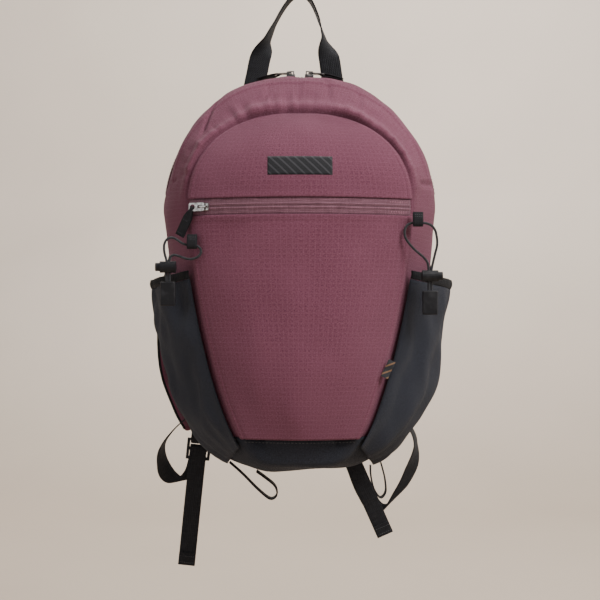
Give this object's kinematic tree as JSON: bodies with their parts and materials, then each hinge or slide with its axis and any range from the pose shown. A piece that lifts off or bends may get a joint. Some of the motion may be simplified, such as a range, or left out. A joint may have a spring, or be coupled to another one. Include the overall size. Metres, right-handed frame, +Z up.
{
  "type": "daypack",
  "caption": "Small hiking daypack with a round top, front zip pocket, stretch side pockets, bungee cords, pole loops, padded straps and haul loop.",
  "frame": {"origin": "inner top of the haul loop, where the pack hangs from a hook", "axes": "+Z up, -Y the front of the pack, +Y the wearer's back, +X to the right of someone who looks at the front"},
  "size_m": [0.317, 0.1736, 0.6418],
  "materials": {
    "maroon_cloth": "dusty maroon heathered plain weave, matt",
    "maroon_zip_tape": "reversed coil zip tape, matt",
    "black_cloth": "smooth black weave, matt",
    "black_mesh": "padded spacer mesh, matt",
    "foam_sheet": "closed-cell foam sheet",
    "woven_label": "woven label with a plain striped pattern",
    "black_webbing": "flat woven webbing, slight sheen",
    "stretch_mesh": "knitted stretch fabric, matt",
    "strap_cloth": "padded strap with maroon outer cloth and black lining",
    "elastic_cord": "braided elastic cord",
    "black_plastic": "moulded acetal, satin",
    "bright_metal": "plated die-cast, satin"
  },
  "bodies": {
    "pack": {"main_shell": "maroon_cloth", "base_panel": "black_cloth", "back_panel": "black_mesh", "frame_sheet": "foam_sheet", "lumbar_pad": "black_mesh", "strap_yoke": "black_cloth", "front_panel_lower": "maroon_cloth", "front_panel_upper": "maroon_cloth", "front_zip_chain": "maroon_zip_tape", "main_zip_chain": "maroon_zip_tape", "label_patch": "woven_label", "haul_loop": "black_webbing", "side_pocket_left": "stretch_mesh", "side_pocket_right": "stretch_mesh", "pocket_hem_left": "black_webbing", "pocket_hem_right": "black_webbing", "cord_keeper_left": "black_webbing", "cord_keeper_right": "black_webbing", "anchor_webbing_left": "black_webbing", "anchor_webbing_right": "black_webbing"},
    "front_zip_slider": {"front_zip_slider": "bright_metal"},
    "front_zip_puller": {"front_zip_puller": "bright_metal"},
    "front_zip_pull": {"front_zip_pull_tape": "black_webbing"},
    "main_zip_left_slider": {"main_zip_left_slider": "bright_metal"},
    "main_zip_left_puller": {"main_zip_left_puller": "bright_metal"},
    "main_zip_left_pull": {"main_zip_left_pull_tape": "black_webbing"},
    "main_zip_right_slider": {"main_zip_right_slider": "bright_metal"},
    "main_zip_right_puller": {"main_zip_right_puller": "bright_metal"},
    "main_zip_right_pull": {"main_zip_right_pull_tape": "black_webbing"},
    "bungee_left": {"bungee_cord_left": "elastic_cord", "cord_end_left": "black_plastic"},
    "cord_lock_left": {"cord_lock_left": "black_plastic", "lock_spring_left": "bright_metal"},
    "lock_plunger_left": {"lock_plunger_left": "black_plastic"},
    "strap_left": {"shoulder_strap_left": "strap_cloth", "strap_tip_web_left": "black_webbing", "ladder_lock_left": "black_plastic"},
    "strap_tail_left": {"strap_tail_left": "black_webbing"},
    "pole_loop_left": {"pole_loop_left": "black_webbing"},
    "bungee_right": {"bungee_cord_right": "elastic_cord", "cord_end_right": "black_plastic"},
    "cord_lock_right": {"cord_lock_right": "black_plastic", "lock_spring_right": "bright_metal"},
    "lock_plunger_right": {"lock_plunger_right": "black_plastic"},
    "strap_right": {"shoulder_strap_right": "strap_cloth", "strap_tip_web_right": "black_webbing", "ladder_lock_right": "black_plastic"},
    "strap_tail_right": {"strap_tail_right": "black_webbing"},
    "pole_loop_right": {"pole_loop_right": "black_webbing"}
  },
  "joints": [
    {"name": "front_zip_slide", "type": "hinge", "parent": "pack", "child": "front_zip_slider", "pos_m": [0, 0.08282, -0.246], "axis": [0, 0, 1], "range_deg": [0, 42]},
    {"name": "front_zip_puller_flip", "type": "hinge", "parent": "front_zip_slider", "child": "front_zip_puller", "pos_m": [-0.09646, -0.12885, -0.246], "axis": [0, 0, 1], "range_deg": [0, 150]},
    {"name": "front_zip_pull_swing", "type": "hinge", "parent": "front_zip_puller", "child": "front_zip_pull", "pos_m": [-0.10757, -0.1238, -0.246], "axis": [-0.4147, -0.91, 0], "range_deg": [-60, 6]},
    {"name": "main_zip_left_slide", "type": "hinge", "parent": "pack", "child": "main_zip_left_slider", "pos_m": [0, -0.026, -0.245], "axis": [0, 1, 0], "range_deg": [-70, 0]},
    {"name": "main_zip_left_puller_flip", "type": "hinge", "parent": "main_zip_left_slider", "child": "main_zip_left_puller", "pos_m": [-0.01017, -0.026, -0.09194], "axis": [0, 1, 0], "range_deg": [0, 45]},
    {"name": "main_zip_left_pull_swing", "type": "hinge", "parent": "main_zip_left_puller", "child": "main_zip_left_pull", "pos_m": [-0.02234, -0.026, -0.09275], "axis": [-0.0663, 0, 0.9978], "range_deg": [0, 60]},
    {"name": "main_zip_right_slide", "type": "hinge", "parent": "pack", "child": "main_zip_right_slider", "pos_m": [0, -0.026, -0.245], "axis": [0, 1, 0], "range_deg": [0, 70]},
    {"name": "main_zip_right_puller_flip", "type": "hinge", "parent": "main_zip_right_slider", "child": "main_zip_right_puller", "pos_m": [0.01017, -0.026, -0.09194], "axis": [0, -1, 0], "range_deg": [0, 45]},
    {"name": "main_zip_right_pull_swing", "type": "hinge", "parent": "main_zip_right_puller", "child": "main_zip_right_pull", "pos_m": [0.02234, -0.026, -0.09275], "axis": [0.0663, 0, 0.9978], "range_deg": [-60, 0]},
    {"name": "bungee_left_swing", "type": "hinge", "parent": "pack", "child": "bungee_left", "pos_m": [-0.108, -0.1255, -0.2845], "axis": [-1, 0, 0], "range_deg": [0, 40]},
    {"name": "cord_lock_left_slide", "type": "slide", "parent": "bungee_left", "child": "cord_lock_left", "axis": [0, 0, -1], "range_m": [0, 0.007]},
    {"name": "lock_plunger_left_press", "type": "slide", "parent": "cord_lock_left", "child": "lock_plunger_left", "axis": [1, 0, 0], "range_m": [0, 0.0028], "stiffness_N_per_m": 200, "springref_m": -0.002, "deforming": ["lock_spring_left"]},
    {"name": "strap_left_swing", "type": "hinge", "parent": "pack", "child": "strap_left", "pos_m": [0, 0.01, -0.1], "axis": [1, 0, 0], "range_deg": [0, 20], "deforming": ["anchor_webbing_left"]},
    {"name": "strap_tail_left_swing", "type": "hinge", "parent": "strap_left", "child": "strap_tail_left", "pos_m": [-0.115, 0.022, -0.508], "axis": [0.9945, 0, -0.1045], "range_deg": [-30, 0]},
    {"name": "pole_loop_left_swing", "type": "hinge", "parent": "pack", "child": "pole_loop_left", "pos_m": [0, -0.06, -0.5152], "axis": [1, 0, 0], "range_deg": [-10, 10]},
    {"name": "bungee_right_swing", "type": "hinge", "parent": "pack", "child": "bungee_right", "pos_m": [0.118, -0.1255, -0.2622], "axis": [-1, 0, 0], "range_deg": [0, 40]},
    {"name": "cord_lock_right_slide", "type": "slide", "parent": "bungee_right", "child": "cord_lock_right", "axis": [0, 0, -1], "range_m": [0, 0.007]},
    {"name": "lock_plunger_right_press", "type": "slide", "parent": "cord_lock_right", "child": "lock_plunger_right", "axis": [-1, 0, 0], "range_m": [0, 0.0028], "stiffness_N_per_m": 200, "springref_m": -0.002, "deforming": ["lock_spring_right"]},
    {"name": "strap_right_swing", "type": "hinge", "parent": "pack", "child": "strap_right", "pos_m": [0, 0.01, -0.1], "axis": [1, 0, 0], "range_deg": [0, 20], "deforming": ["anchor_webbing_right"]},
    {"name": "strap_tail_right_swing", "type": "hinge", "parent": "strap_right", "child": "strap_tail_right", "pos_m": [0.05, 0.022, -0.5], "axis": [0.9135, 0, 0.4067], "range_deg": [-30, 0]},
    {"name": "pole_loop_right_swing", "type": "hinge", "parent": "pack", "child": "pole_loop_right", "pos_m": [0, -0.06, -0.5125], "axis": [1, 0, 0], "range_deg": [-10, 10]}
  ]
}
